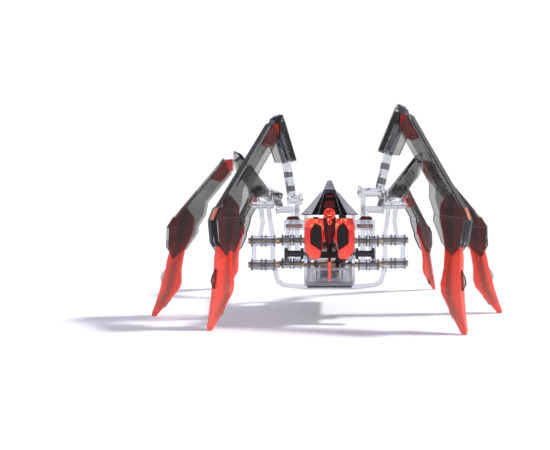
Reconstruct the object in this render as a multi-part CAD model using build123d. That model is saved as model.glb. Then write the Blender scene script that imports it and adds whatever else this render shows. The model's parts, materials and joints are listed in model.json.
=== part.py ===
"""Six-legged walking spider robot: clear gear-driven chassis, smoke shells, red feet. Millimetres, +Z up."""

import math
import os

from build123d import *

# ---- Driving dimensions -------------------------------------------------------------------------
Y_SHIFT = -24.4  # puts the middle of the whole robot's length at Y = 0
CRANK_R = 3.3  # throw of both crankshafts
LOWER_Z = 21.0  # lower crankshaft axis
UPPER_Z = 30.6  # upper crankshaft axis
MODULE = 0.4  # gear module
PIN_R = 0.75  # steel pins and shafts
SLEEVE_R = 2.0  # outside of the clear bearing sleeves
RUN = 0.05  # radial running clearance
WALL_IN, WALL_OUT = 8.5, 9.7  # inside and outside of the two chassis side plates, along X
THROW_IN = (11.2, 20.0)  # inner throw, which carries the front and the rear leg
THROW_OUT = (21.4, 31.6)  # outer throw, which carries the middle leg
WEB = 1.2  # crank web thickness

# Each pair of legs shares one shape: foot scale, shin vector and hood vector in the leg's own plane.
LEGS = {
    "front": dict(scale=1.08, shin=(-30.5, 33.4), hood=(-4.6, -19.2), hip=(2.8, 46.0)),
    "middle": dict(scale=1.0, shin=(-20.9, 25.0), hood=(-13.3, -16.8), hip=(7.0, 49.4)),
    "rear": dict(scale=0.87, shin=(-17.5, 20.5), hood=(-15.5, -5.0), hip=(-0.5, 46.0)),
}
# Each leg stands its own way at rest: foot tip, yaw of its plane towards the back, and outward lean.
STANCE = {
    ("front", "left"): dict(foot=(42.4, -32.0), yaw=-46, lean=7.0),
    ("front", "right"): dict(foot=(46.2, -32.0), yaw=-40, lean=11.3),
    ("middle", "left"): dict(foot=(71.4, 2.5), yaw=0, lean=0),
    ("middle", "right"): dict(foot=(71.4, 2.5), yaw=0, lean=0),
    ("rear", "left"): dict(foot=(57.8, 81.0), yaw=44, lean=0),
    ("rear", "right"): dict(foot=(57.8, 81.0), yaw=44, lean=0),
}
SIDES = {"left": -1, "right": 1}


def phase(place, side):
    """+1 where the crank throw points backwards at rest, -1 where it points forwards."""
    outer = place == "middle"
    return (1 if side == "left" else -1) * (-1 if outer else 1)


# ---- Small helpers ------------------------------------------------------------------------------
def rod(x0, x1, y, z, radius):
    """A cylinder along X."""
    return Pos((x0 + x1) / 2, y, z) * Rot(0, 90, 0) * Cylinder(radius, abs(x1 - x0))


def rod_y(x, y0, y1, z, radius):
    """A cylinder along Y."""
    return Pos(x, (y0 + y1) / 2, z) * Rot(90, 0, 0) * Cylinder(radius, abs(y1 - y0))


def block(x0, x1, y0, y1, z0, z1):
    """A box from its two corners."""
    return Pos((x0 + x1) / 2, (y0 + y1) / 2, (z0 + z1) / 2) * Box(abs(x1 - x0), abs(y1 - y0), abs(z1 - z0))


def plate_x(points, x0, x1):
    """A plate with an outline in the YZ plane, from x0 to x1."""
    return extrude(Plane.YZ.offset(x0) * make_face(Polyline(*points, close=True)), x1 - x0)


def plate_y(points, y0, y1):
    """A plate with an outline in the XZ plane, from y0 to y1."""
    face = make_face(Polyline(*points, close=True))
    return extrude(Plane.XZ.offset(-y1) * face, y1 - y0)


def bar_yz(start, end, width, x0, x1):
    """A straight bar in the YZ plane with rounded ends, from x0 to x1."""
    (ya, za), (yb, zb) = start, end
    length = math.hypot(yb - ya, zb - za)
    angle = math.degrees(math.atan2(zb - za, yb - ya))
    face = Pos((ya + yb) / 2, (za + zb) / 2) * Rot(0, 0, angle) * SlotCenterToCenter(length, width)
    return extrude(Plane.YZ.offset(x0) * face, x1 - x0)


# ---- Gears --------------------------------------------------------------------------------------
def gear(teeth, x0, x1, bore, turn=0.0):
    """A spur gear about the X axis with slim straight-flanked teeth, one of them centred at angle turn."""
    pitch = MODULE * teeth / 2
    root, tip = pitch - 1.15 * MODULE, pitch + 0.85 * MODULE
    half_root, half_pitch, half_tip = 0.86 * MODULE, 0.68 * MODULE, 0.34 * MODULE
    outline = []
    for n in range(teeth):
        middle = math.radians(turn) + 2 * math.pi * n / teeth
        flank = ((root, -half_root), (pitch, -half_pitch), (tip, -half_tip),
                 (tip, half_tip), (pitch, half_pitch), (root, half_root))
        for radius, across in flank:
            a = middle + across / radius
            outline.append((radius * math.cos(a), radius * math.sin(a)))
    wheel = plate_x(outline, x0, x1)
    return wheel - rod(x0 - 1, x1 + 1, 0, 0, bore)


GEAR_TEETH = dict(crank=20, idler=28, second_wheel=26, second_pinion=14, first_wheel=30, pinion=12)
PLANE_3 = (2.4, 3.8)  # crank gears, idler and the second gear's pinion
PLANE_2 = (4.2, 5.6)  # second gear's wheel and the first gear's pinion
PLANE_1 = (6.0, 7.4)  # first gear's wheel and the motor pinion


def pitch_r(name):
    return MODULE * GEAR_TEETH[name] / 2


MID_Z = (LOWER_Z + UPPER_Z) / 2
IDLER_Y = -math.sqrt((pitch_r("crank") + pitch_r("idler")) ** 2 - (UPPER_Z - MID_Z) ** 2)


def step_from(origin, distance, degrees):
    """The point at a distance and a direction from another, in the YZ plane."""
    return (origin[0] + distance * math.cos(math.radians(degrees)),
            origin[1] + distance * math.sin(math.radians(degrees)))


IDLER = (IDLER_Y, MID_Z)
SECOND = step_from((0, UPPER_Z), pitch_r("crank") + pitch_r("second_pinion"), -35)
FIRST = step_from(SECOND, pitch_r("second_wheel") + pitch_r("pinion"), 5)
MOTOR = step_from(FIRST, pitch_r("first_wheel") + pitch_r("pinion"), -10)


def mesh_turn(teeth_a, turn_a, teeth_b, degrees):
    """The turn that puts a gap of gear b on a tooth of gear a, where b lies in that direction from a."""
    step_a = 360 / teeth_a
    offset = (degrees - turn_a) / step_a
    part = offset - math.floor(offset)
    return degrees + 180 + (part + 0.5) * 360 / teeth_b


def direction(a, b):
    return math.degrees(math.atan2(b[1] - a[1], b[0] - a[0]))


IDLER_TURN = mesh_turn(20, 0, 28, direction((0, LOWER_Z), IDLER))
UPPER_TURN = mesh_turn(28, IDLER_TURN, 20, direction(IDLER, (0, UPPER_Z)))
SECOND_TURN = mesh_turn(20, UPPER_TURN, 14, direction((0, UPPER_Z), SECOND))
FIRST_TURN = mesh_turn(26, SECOND_TURN, 12, direction(SECOND, FIRST))
MOTOR_TURN = mesh_turn(30, FIRST_TURN, 12, direction(FIRST, MOTOR))


def at_yz(point, shape):
    return Pos(0, point[0], point[1]) * shape


def compound_gear(wheel_teeth, wheel_plane, pinion_teeth, pinion_plane, turn):
    """A wheel with a pinion on one hub, loose on its pin."""
    bore = PIN_R + RUN
    lo, hi = sorted((wheel_plane, pinion_plane))
    hub = rod(lo[1] - 0.01, hi[0] + 0.01, 0, 0, 1.6) - rod(0, 9, 0, 0, bore)
    return gear(wheel_teeth, *wheel_plane, bore, turn) + gear(pinion_teeth, *pinion_plane, bore, turn) + hub


def idler_gear(turn):
    """Black idler on a through shaft, with a flanged spool outside each side plate."""
    shaft = gear(28, *PLANE_3, PIN_R - 0.05, turn) + rod(-17.6, 17.6, 0, 0, PIN_R)
    for sign in SIDES.values():
        shaft += rod(sign * 10.2, sign * 17.6, 0, 0, 1.25)
        for x in (10.2, 16.5):
            shaft += rod(sign * x, sign * (x + 1.1), 0, 0, 2.2)
    return shaft


# ---- Crankshafts --------------------------------------------------------------------------------
def crankshaft(turn):
    """A through shaft with its gear, throws and end caps; the left throws stand half a turn from the right ones."""
    shaft = rod(-THROW_IN[0] + 0.2, THROW_IN[0] - 0.2, 0, 0, PIN_R)
    shaft += gear(20, *PLANE_3, PIN_R - 0.05, turn)
    shaft += rod(PLANE_3[0] - 0.8, PLANE_3[0], 0, 0, 1.6)
    for side, sign in SIDES.items():
        inner = CRANK_R * phase("front", side)
        outer = CRANK_R * phase("middle", side)
        for x0, x1, ya, yb in (
            (THROW_IN[0] - WEB, THROW_IN[0], 0, inner),
            (THROW_IN[1], THROW_OUT[0], inner, outer),
        ):
            web = bar_yz((ya, 0), (yb, 0), 2.4, min(sign * x0, sign * x1), max(sign * x0, sign * x1))
            shaft += web
        shaft += rod(sign * (THROW_IN[0] - 0.2), sign * (THROW_IN[1] + 0.2), inner, 0, PIN_R)
        shaft += rod(sign * (THROW_OUT[0] - 0.2), sign * (THROW_OUT[1] + 0.3), outer, 0, PIN_R)
        shaft += rod(sign * (THROW_OUT[1] + 0.1), sign * (THROW_OUT[1] + 0.9), outer, 0, 1.3)
    return shaft


# ---- Legs: pieces in the leg's own plane, u outwards from the foot tip, z up ----------------------
def in_plane(points, half):
    """A plate in the leg's plane with an outline of (u, z) points and this half thickness."""
    return plate_y(points, -half, half)


ANKLE = (-7.65, 39.0)  # the outer ankle corner of a foot at scale 1


def leg_points(spec):
    """Named points of one leg, in its own plane."""
    s = spec["scale"]
    ankle = (ANKLE[0] * s, ANKLE[1] * s)
    knee = (ankle[0] + spec["shin"][0], ankle[1] + spec["shin"][1])
    length = math.hypot(*spec["shin"])
    along = (spec["shin"][0] / length, spec["shin"][1] / length)
    inward = (-along[1], along[0])  # square to the shin, towards the body
    tip = (knee[0] - 5.6 * s, knee[1] + 3.0 * s)
    heel = (tip[0] + spec["hood"][0], tip[1] + spec["hood"][1])
    return dict(s=s, ankle=ankle, knee=knee, along=along, inward=inward, tip=tip, hood_end=heel)


def offset_point(point, along, inward, a, b):
    return (point[0] + along[0] * a + inward[0] * b, point[1] + along[1] * a + inward[1] * b)


def shin_outline(p, wall):
    """Outline of the shin shell: guard below the ankle, beam above it; a wall over 0 gives its hollow."""
    s, k = p["s"], p["ankle"]

    def foot_side(u, z):
        return (k[0] + u * s, k[1] + z * s)

    def beam(a, b):
        return offset_point(k, p["along"], p["inward"], a, b)

    length = math.hypot(p["knee"][0] - k[0], p["knee"][1] - k[1])
    width = 6.0 * (0.5 + 0.5 * s)
    if not wall:
        return [foot_side(1.7, -3.0), foot_side(2.0, -10.5), foot_side(-0.7, -15.6), foot_side(-5.0, -12.2),
                foot_side(-9.9, -5.2), foot_side(-10.0, -3.0), foot_side(-13.0, 2.2), beam(14.5 * s, width),
                beam(length - 3.0, width), beam(length, 0.0), beam(1.2 * s, 0.0)]
    w = wall
    return [foot_side(1.7 - w / s, -3.0), foot_side(2.0 - w / s, -10.5), foot_side(0.6, -17.0),
            foot_side(-5.0, -14.0), foot_side(-12.5, -6.0), foot_side(-13.5, 0.0), beam(12.0 * s, width + 2.5),
            beam(length + 1.0, width + 2.5), beam(length + 1.0, w), beam(1.0 * s, w)]


def bevel(start, along, inward, a0, a1, half, size):
    """Two wedges that bevel the long outer corners of a plate, from a0 to a1 along it."""
    plane = Plane(origin=(start[0] + along[0] * a0, 0, start[1] + along[1] * a0),
                  x_dir=(inward[0], 0, inward[1]), z_dir=(along[0], 0, along[1]))
    wedges = []
    for sign in (-1, 1):
        corner = [(-1.0, sign * (half - size - 1.0)), (size, sign * half), (size, sign * (half + 1)),
                  (-1.0, sign * (half + 1))]
        wedges.append(extrude(plane * make_face(Polyline(*corner, close=True)), a1 - a0))
    return wedges


SHELL_HALF = 2.7  # half the outside width of the smoke shells at scale 1
SHELL_WALL = 0.8


def shin_shell(p):
    """Smoke channel with a closed outer side, its inner side open, and a notch above the foot."""
    s = p["s"]
    half = SHELL_HALF * s
    outer = in_plane(shin_outline(p, 0), half)
    k, knee = p["ankle"], p["knee"]
    outer -= bevel(k, p["along"], p["inward"], 1.5 * s, math.dist(k, knee) + 5, half, 1.1 * s)
    hollow = in_plane(shin_outline(p, SHELL_WALL), half - SHELL_WALL)
    shell = outer - hollow
    window = [(k[0] - 2.6 * s, k[1] + 1.0 * s), (k[0] + 3.0 * s, k[1] + 1.0 * s),
              (k[0] + 3.0 * s, k[1] - 2.4 * s), (k[0] + 0.2 * s, k[1] - 3.4 * s)]
    shell -= in_plane(window, 1.25 * s)
    notch = [(-half, -18 * s), (-1.3 * s, -18 * s), (0, -8.2 * s), (1.3 * s, -18 * s)]
    notch_face = make_face(Polyline(*[(y, z) for y, z in notch[1:]], close=True))
    cutter = extrude(Plane.YZ.offset(k[0] + 0.4 * s) * Pos(0, k[1]) * notch_face, 4 * s)
    shell -= cutter
    return shell


def foot_sections(p):
    """Sections of the foot, from its stem to the tip: height, inner u, outer u, half thickness."""
    s, k = p["s"], p["ankle"]
    rows = ((-4.0, -8.4, 0.7, 1.7), (-12.5, -4.9, 1.0, 1.8), (-15.8, -4.2, 1.9, 2.25), (-20.0, -3.5, 2.6, 2.55),
            (-25.4, -3.5, 4.1, 2.75), (-28.2, -2.6, 4.8, 2.6), (-34.0, 2.2, 6.8, 1.9), (-37.8, 5.6, 8.3, 1.15),
            (-39.0, 6.6, 8.4, 0.8))
    return [(k[1] + z * s, k[0] + a * s, k[0] + b * s, t * s) for z, a, b, t in rows]


def foot_section(z, inner, outer, half):
    """A long hexagon across the foot, with its blunt end outwards."""
    middle = inner + 0.62 * (outer - inner)
    points = [(inner, -0.35 * half), (middle, -half), (outer, -0.55 * half),
              (outer, 0.55 * half), (middle, half), (inner, 0.35 * half)]
    return Plane.XY.offset(z) * make_face(Polyline(*points, close=True))


def claw_core(p):
    """Smoke plate moulded inside the foot, with a spur outside and an edge showing near the tip."""
    s, k = p["s"], p["ankle"]
    points = [(0.6, -17.2), (2.2, -19.0), (4.2, -21.6), (4.9, -23.4), (4.0, -27.0), (5.9, -34.6), (2.9, -35.6),
              (0.6, -32.2), (0.4, -26.0)]
    return in_plane([(k[0] + u * s, k[1] + z * s) for u, z in points], 0.55 * s)


def foot(p):
    """Soft red boot: the lofted claw with a stem up into the shell, less the core moulded inside it."""
    s, k = p["s"], p["ankle"]
    claw = loft([foot_section(*row) for row in foot_sections(p)], ruled=True)
    stem = [(-8.2, -4.2), (0.5, -4.2), (-0.6, -0.6), (-5.6, 5.2), (-8.8, 0.8)]
    body = claw + in_plane([(k[0] + u * s, k[1] + z * s) for u, z in stem], 1.6 * s)
    return body - claw_core(p)


def knee_cap(p):
    """Red block that fills the top of the shin shell and shows between it and the hood."""
    k = p["ankle"]
    length = math.hypot(p["knee"][0] - k[0], p["knee"][1] - k[1])
    width = 6.0 * (0.5 + 0.5 * p["s"])

    def beam(a, b):
        return offset_point(k, p["along"], p["inward"], a, b)

    crown = (p["tip"][0] + 1.9 * p["s"], p["tip"][1] - 3.4 * p["s"])
    points = [beam(length - 10.0, 1.2), beam(length + 0.2, 1.2), crown, beam(length - 1.0, width - 0.4),
              beam(length - 8.0, width - 0.4)]
    return in_plane(points, (SHELL_HALF - SHELL_WALL - 0.15) * p["s"])


def hood_axes(p):
    """Directions along the hood, from its tip down, and square to it on the side that faces the shin."""
    (tu, tz), (eu, ez) = p["tip"], p["hood_end"]
    length = math.hypot(eu - tu, ez - tz)
    along = ((eu - tu) / length, (ez - tz) / length)
    return length, along, (-along[1], along[0])


def hood_outline(p, wall):
    length, along, under = hood_axes(p)
    s = p["s"]

    def place(a, b):
        return offset_point(p["tip"], along, under, a, b)

    if not wall:
        return [place(0, 1.4), place(1.6, 0), place(length, 0.0), place(length - 1.6 * s, 5.6 * s),
                place(8.0 * s, 6.0 * s), place(2.6 * s, 3.6 * s)]
    return [place(2.6 * s, wall), place(length + 1, wall), place(length + 1, 9.0 * s), place(2.6 * s, 9.0 * s)]


def knee_hood(p):
    """Smoke hood over the inside of the knee, with a pointed top and two side flanges."""
    half = SHELL_HALF * p["s"] + 1.15
    outer = in_plane(hood_outline(p, 0), half)
    length, along, under = hood_axes(p)
    outer -= bevel(p["tip"], along, under, -3, length + 3, half, 1.2 * p["s"])
    return outer - in_plane(hood_outline(p, SHELL_WALL), half - SHELL_WALL)


def leg_location(place, side):
    """From the leg's plane to the robot's frame, foot tip on the floor, on its crank throw."""
    stance, sign = STANCE[place, side], SIDES[side]
    turn = stance["yaw"] if sign > 0 else 180 - stance["yaw"]
    x, y = stance["foot"]
    level = Rot(0, sign * stance["lean"], 0) * Rot(0, 0, turn)
    sole = foot(leg_points(LEGS[place]))
    return Pos(sign * x, y + CRANK_R * phase(place, side), -(level * sole).bounding_box().min.Z) * level


# ---- Clear hip links: a frame on the two crank pins, and the femur up to the hood -----------------
def sleeve_pair(x0, x1):
    """Two bearing sleeves on the lower and the upper crank pin, bored to run on them."""
    body = rod(x0, x1, 0, LOWER_Z, SLEEVE_R) + rod(x0, x1, 0, UPPER_Z, SLEEVE_R)
    return body


def bore_pair(body, x0, x1):
    for z in (LOWER_Z, UPPER_Z):
        body -= rod(x0 - 2, x1 + 2, 0, z, PIN_R + RUN)
    return body


def femur(p, spec):
    """Clear bar in the leg's plane: its head under the hood, its foot at the hip."""
    length, along, under = hood_axes(p)
    head = offset_point(p["tip"], along, under, length * 0.42, 3.0 * p["s"])
    end = p["hood_end"]
    hip = (end[0] + spec["hip"][0], spec["hip"][1])
    start = offset_point(p["tip"], along, under, length - 1.5, 3.0 * p["s"])
    stops = [head, start, hip] if spec["hip"][0] < 5 else [head, hip]
    bar = None
    for a, b in zip(stops, stops[1:]):
        width = 3.0 if a == head else 2.6
        turn = math.degrees(math.atan2(b[1] - a[1], b[0] - a[0]))
        slot = SlotCenterToCenter(math.dist(a, b), width)
        face = Pos((a[0] + b[0]) / 2, (a[1] + b[1]) / 2) * Rot(0, 0, turn) * slot
        piece = extrude(Plane.XZ.offset(-1.25) * face, 2.5)
        bar = piece if bar is None else bar + piece
    return bar, hip


def hip_link(place, hip):
    """The clear link of a right-hand leg: sleeves on the two crank pins, struts and the hip."""
    hx, hy, hz = hip
    if place == "middle":
        x0, x1 = THROW_OUT[0] + 0.3, THROW_OUT[1] - 0.2
        body = sleeve_pair(x0, x1)
        for x in (x0 + 0.3, x1 - 1.9):
            body += bar_yz((0, LOWER_Z), (0, UPPER_Z), 2.2, x, x + 1.6)
        body += rod(x0 + 0.8, x1, 0, 45.2, 1.6)
        for x_low, x_high in ((x0 + 0.2, x0 + 0.2), (x0 + 5.4, x0 + 3.2)):
            body += plate_y([(x_low, UPPER_Z + 1.2), (x_low + 1.5, UPPER_Z + 1.2), (x_high + 2.6, 38.0),
                             (x_high + 3.4, 44.6), (x_high + 1.9, 44.6), (x_high + 1.1, 38.0)], -1.1, 1.1)
        for x in (x0 + 1.2, x1 - 2.4):
            body += block(x, x + 1.8, -1.3, 1.3, 45.0, 49.0)
        body += block(24.2, hx + 1.5, min(-1.5, hy - 1.5), max(1.5, hy + 1.5), 48.0, 50.8)
        return bore_pair(body, x0, x1)
    x0, x1 = (THROW_IN[0] + 0.25, 15.2) if place == "front" else (15.6, THROW_IN[1] - 0.25)
    body = sleeve_pair(x0, x1)
    xm = (x0 + x1) / 2
    body += bar_yz((0, LOWER_Z), (0, UPPER_Z), 2.4, xm - 0.9, xm + 0.9)
    body += bar_yz((0, UPPER_Z), (hy, hz - 3.4), 3.0, xm - 0.9, xm + 0.9)
    if place == "rear":
        body += bar_yz((0, LOWER_Z), (hy, hz - 3.6), 2.0, xm - 0.9, xm + 0.9)
    low, high = min(xm, hx) - 1.9, max(xm, hx) + 1.5
    body += rod(low, high, hy, hz - 2.2, 1.7)
    for x in (low, high - 1.2):
        body += block(x, x + 1.2, hy - 1.8, hy + 1.8, hz - 4.4, hz + 0.2)
    return bore_pair(body, x0, x1)


def build_leg(place, side):
    """All pieces of one leg in the robot's frame, none of them overlapping."""
    spec, sign = LEGS[place], SIDES[side]
    p = leg_points(spec)
    where = leg_location(place, side)
    core = claw_core(p)
    shell = shin_shell(p)
    boot = foot(p) - shell
    cap = knee_cap(p) - shell
    hood = knee_hood(p) - shell - cap
    bar, hip = femur(p, spec)
    bar = where * (bar - shell - cap - hood)
    x, y, z = (where * Pos(hip[0], 0, hip[1])).position
    throw = CRANK_R * phase(place, side)
    link = hip_link(place, (abs(x), y - throw, z))
    if sign < 0:
        link = mirror(link, about=Plane.YZ)
    link = Pos(0, throw, 0) * link + bar - where * hood - where * shell
    return {"foot": where * boot, "shin_shell": [where * shell, where * core], "knee_cap": where * cap,
            "knee_hood": where * hood, "hip_link": link}


# ---- Chassis and inner pieces --------------------------------------------------------------------
FRONT_Y, BACK_Y = -14.0, 36.0  # front and back of the tray
TOP_Z = 41.0  # top of the side plates


def side_plate(sign):
    """Clear side plate with the shaft holes, raised shaft bosses inside, and a stepped stop block outside."""
    outline = [(FRONT_Y - 0.6, 16.5), (FRONT_Y + 1.0, 14.6), (BACK_Y, 14.6), (38.0, 18.0), (38.0, 32.0),
               (31.0, TOP_Z), (FRONT_Y - 0.6, TOP_Z)]
    x0, x1 = sorted((sign * WALL_IN, sign * WALL_OUT))
    plate = plate_x(outline, x0, x1)
    plate -= plate_x([(27.5, 22.0), (35.0, 22.0), (35.0, 31.0), (29.5, 37.0), (27.5, 37.0)], x0 - 1, x1 + 1)
    for z in (LOWER_Z, UPPER_Z):
        boss = rod(sign * (WALL_IN - 0.9), sign * WALL_IN, 0, z, 2.2)
        plate = plate + boss - rod(x0 - 2, x1 + 2, 0, z, PIN_R + RUN)
    plate -= rod(x0 - 1, x1 + 1, *IDLER, PIN_R + RUN)
    if sign > 0:
        for point in (SECOND, FIRST):
            plate -= rod(x0 - 1, x1 + 1, *point, PIN_R + RUN)
    outer, end = sorted((sign * WALL_OUT, sign * 17.4))
    plate += block(outer, end, FRONT_Y - 0.5, -11.9, 35.2, 38.4)
    plate += block(outer, end, FRONT_Y + 0.1, -12.5, 38.4, 39.2)
    return plate


def gear_pins():
    """Two headed steel pins pushed through the right side plate, one for each reduction gear."""
    pins = []
    for point, tip in ((SECOND, 2.0), (FIRST, 3.6)):
        pins.append(rod(tip, WALL_OUT + 0.1, *point, PIN_R) + rod(WALL_OUT, WALL_OUT + 0.28, *point, 1.3))
    return pins


def spacer_posts():
    """Clear posts that tie the two side plates together."""
    posts = []
    for y, z, radius in ((-11.0, 35.5, 1.2), (34.7, 20.7, 1.2), (25.0, 36.0, 1.4)):
        posts.append(rod(-WALL_IN, WALL_IN, y, z, radius))
    return posts


def motor_can():
    """Flat-sided motor with its end boss and shaft."""
    y, z = MOTOR
    can = rod(-WALL_IN, 5.6, y, z, 5.0) & block(-WALL_IN, 5.6, y - 6, y + 6, z - 4.0, z + 4.0)
    can += rod(5.4, 5.9, y, z, 1.6)
    return can


def motor_shaft_gear():
    """Motor pinion on the motor's own shaft."""
    return at_yz(MOTOR, gear(12, *PLANE_1, 0.45, MOTOR_TURN) + rod(6.0, 7.9, 0, 0, 0.5))


CELL_R = 5.8
CELLS_Y = (15.2, 27.4)
DOOR = dict(y0=8.6, z0=13.3, z1=14.45, half=6.4)


def tray():
    """Clear floor of the chassis: front wall, cell pockets, and a slot at the back for the sliding door."""
    body = block(-WALL_IN, WALL_IN, FRONT_Y, BACK_Y, 13.3, 14.6)
    wall = [(-8.5, 14.6), (8.5, 14.6), (8.5, 22.0), (6.6, 22.0), (5.4, 16.6), (-5.4, 16.6), (-6.6, 22.0), (-8.5, 22.0)]
    body += plate_y(wall, FRONT_Y, FRONT_Y + 0.9)
    body += block(-5.4, 5.4, FRONT_Y, -6.0, 14.6, 15.5)
    body += block(-7.2, 7.2, 8.6, 34.0, 14.5, 19.9)
    for y in CELLS_Y:
        body -= Pos(0, y, 17.2) * Cylinder(CELL_R + 0.1, 8.0)
    body -= block(-DOOR["half"] - 0.1, DOOR["half"] + 0.1, DOOR["y0"], BACK_Y + 1, 13.0, 14.5)
    for sign in (-1, 1):
        rail = sorted((sign * (DOOR["half"] + 0.05), sign * (DOOR["half"] + 0.9)))
        body -= block(*rail, DOOR["y0"], BACK_Y + 1, 13.75, 14.15)
    body -= rod(-9, 9, 34.7, 20.7, 1.2)
    return body


def battery_door():
    """Ribbed door that slides out backwards along two side rails."""
    half, y0 = DOOR["half"], DOOR["y0"]
    body = block(-half, half, y0 + 0.1, BACK_Y, DOOR["z0"], DOOR["z1"])
    body += block(-half - 0.8, half + 0.8, y0 + 0.3, BACK_Y - 0.2, 13.8, 14.1)
    for k in range(5):
        body -= block(-3.6, 3.6, 27.0 + 1.6 * k, 27.7 + 1.6 * k, 13.2, 13.6)
    return body


def button_cell(y):
    """Button cell with a narrower cap at its top."""
    return Pos(0, y, 17.0) * Cylinder(CELL_R, 4.9) + Pos(0, y, 19.65) * Cylinder(CELL_R - 0.9, 0.5)


def contacts():
    """Sprung strip that joins the two cells, with a tail that rises to the circuit board's wires."""
    strip = block(-1.6, 1.6, CELLS_Y[0] - 4, CELLS_Y[1] + 4, 19.9, 20.2)
    return strip


def circuit_board():
    """Board between the side plates, with its chip, two capacitors and a resistor."""
    body = block(-WALL_IN, WALL_IN, -11.6, 14.0, 38.6, 39.4)
    body += block(-2.5, 2.5, -3.0, 1.8, 39.4, 40.4)
    body += block(-6.8, -4.6, 3.0, 6.4, 39.4, 40.2)
    body += block(4.0, 7.2, 4.0, 5.8, 39.4, 40.0)
    body += Pos(5.2, -5.0, 40.3) * Cylinder(1.5, 1.8)
    return body


def led():
    """Round LED that looks forward from the top of the nose, with two bent leads down to the board."""
    body = rod_y(0, -17.6, -14.4, 41.4, 1.5) + Pos(0, -17.6, 41.4) * Sphere(1.5)
    body += rod_y(0, -14.4, -13.8, 41.4, 1.8)
    for x in (-0.6, 0.6):
        body += block(x - 0.2, x + 0.2, -13.9, -10.6, 41.2, 41.6)
        body += block(x - 0.2, x + 0.2, -11.0, -10.6, 39.4, 41.6)
    return body


# ---- Head ---------------------------------------------------------------------------------------
EYE = ((-7.2, 34.9), (-5.6, 38.1), (-3.1, 36.9), (-2.7, 31.6), (-3.1, 27.4), (-7.2, 30.2))
LOBE = ((-9.2, 39.8), (-9.6, 34.6), (-9.2, 27.1), (-6.6, 24.1),
        (-3.6, 24.5), (-2.4, 30.5), (-1.6, 36.1), (-1.6, 39.8))
NOSE = ((-2.4, 39.8), (2.4, 39.8), (1.9, 34.0), (0.8, 27.0),
        (0.35, 23.4), (-0.35, 23.4), (-0.8, 27.0), (-1.9, 34.0))
FACE_Y = -16.5


def flip(points):
    """The outline mirrored from left to right."""
    return [(-x, z) for x, z in points]


def eye_shapes(front, back):
    """Both hexagonal eyes as plates, with a smaller raised facet in front."""
    shapes = []
    for points in (EYE, flip(EYE)):
        shapes.append(plate_y(points, front, back))
    return shapes


def eyes():
    """Black faceted eyes, each a plate that tapers to its front."""
    pieces = []
    for points in (EYE, flip(EYE)):
        cx, cz = sum(x for x, z in points) / 6, sum(z for x, z in points) / 6
        base = Plane.XZ.offset(-FACE_Y + 0.6) * make_face(Polyline(*points, close=True))
        small = [(cx + 0.84 * (x - cx), cz + 0.88 * (z - cz)) for x, z in points]
        front = Plane.XZ.offset(-FACE_Y + 2.6) * make_face(Polyline(*small, close=True))
        pieces.append(loft([base, front], ruled=True))
    return pieces


def nose():
    """Dark ridge between the lobes, tapering to its lower end."""
    return plate_y(NOSE, FACE_Y - 2.6, FACE_Y) - rod_y(0, -25, -14, 41.4, 1.8)


def face_lens():
    """Glowing red lens: two lobes on a back web, facets over the eyes, and the thin blade below the nose."""
    body = block(-9.2, 9.2, FACE_Y, FRONT_Y - 0.6, 31.0, 39.8)
    for points in (LOBE, flip(LOBE)):
        body += plate_y(points, FACE_Y, FRONT_Y - 0.6)
    for points in (LOBE, flip(LOBE)):
        cx, cz = sum(x for x, z in points) / 8, sum(z for x, z in points) / 8
        base = Plane.XZ.offset(-FACE_Y) * make_face(Polyline(*points, close=True))
        small = [(cx + 0.9 * (x - cx), cz + 0.93 * (z - cz)) for x, z in points]
        front = Plane.XZ.offset(-FACE_Y + 1.6) * make_face(Polyline(*small, close=True))
        body += loft([base, front], ruled=True)
    blade = [(-0.6, 32.0), (0.6, 32.0), (0.6, 24.0), (0.4, 16.3), (-0.4, 16.3), (-0.6, 24.0)]
    body += plate_y(blade, FACE_Y - 1.8, FRONT_Y - 0.6)
    for shape in eye_shapes(FACE_Y - 3.0, FACE_Y - 0.6):
        body -= shape
    return body - plate_y(NOSE, FACE_Y - 3.0, FACE_Y) - rod_y(0, -25, -13, 41.4, 1.8)


def rect_at(half_x, y0, y1, z):
    """A rectangular face at a height."""
    corners = [(-half_x, y0), (half_x, y0), (half_x, y1), (-half_x, y1)]
    return Plane.XY.offset(z) * make_face(Polyline(*corners, close=True))


def roof():
    """Faceted smoke roof of the head, hollow, with a channel down its front and a notch for the LED."""
    outer = loft([rect_at(10.9, -17.2, 8.0, TOP_Z), rect_at(2.3, -15.6, -2.0, 50.4)], ruled=True)
    outer += loft([rect_at(2.3, -15.6, -2.0, 50.4), rect_at(0.8, -9.0, -6.0, 54.5)], ruled=True)
    inner = loft([rect_at(9.7, -14.4, 7.0, TOP_Z - 0.1), rect_at(1.4, -13.4, -3.2, 49.2)], ruled=True)
    channel = plate_y([(-1.7, 49.8), (1.7, 49.8), (3.9, TOP_Z - 0.1), (-3.9, TOP_Z - 0.1)], -19.0, -15.2)
    body = outer - inner - channel
    body -= rod_y(0, -20, -12, 41.4, 1.9)
    return body


def bumper():
    """Clear hoop that sweeps up on both sides in front of the tray."""
    right = [(0, 13.0), (9.6, 13.0), (17.4, 13.9), (20.0, 15.4), (21.6, 21.0), (20.2, 21.0), (18.9, 16.3),
             (16.8, 15.1), (9.3, 14.5), (0, 14.5)]
    left = [(-x, z) for x, z in reversed(right)]
    return plate_y(right + left[1:-1], FRONT_Y - 3.4, FRONT_Y)


def power_switch():
    """Black switch body on the back of the tray."""
    body = block(-4.0, 4.0, 34.0, 37.6, 22.0, 26.6) + block(-WALL_IN, WALL_IN, 34.6, 36.0, 22.6, 24.0)
    return body - block(-2.6, 2.6, 36.4, 38.0, 23.4, 25.2)


def switch_slider():
    """Sliding button in the switch body."""
    return block(-2.55, -0.2, 36.45, 37.6, 23.45, 25.15) + block(-1.9, -0.9, 37.6, 39.2, 23.6, 25.0)


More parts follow.
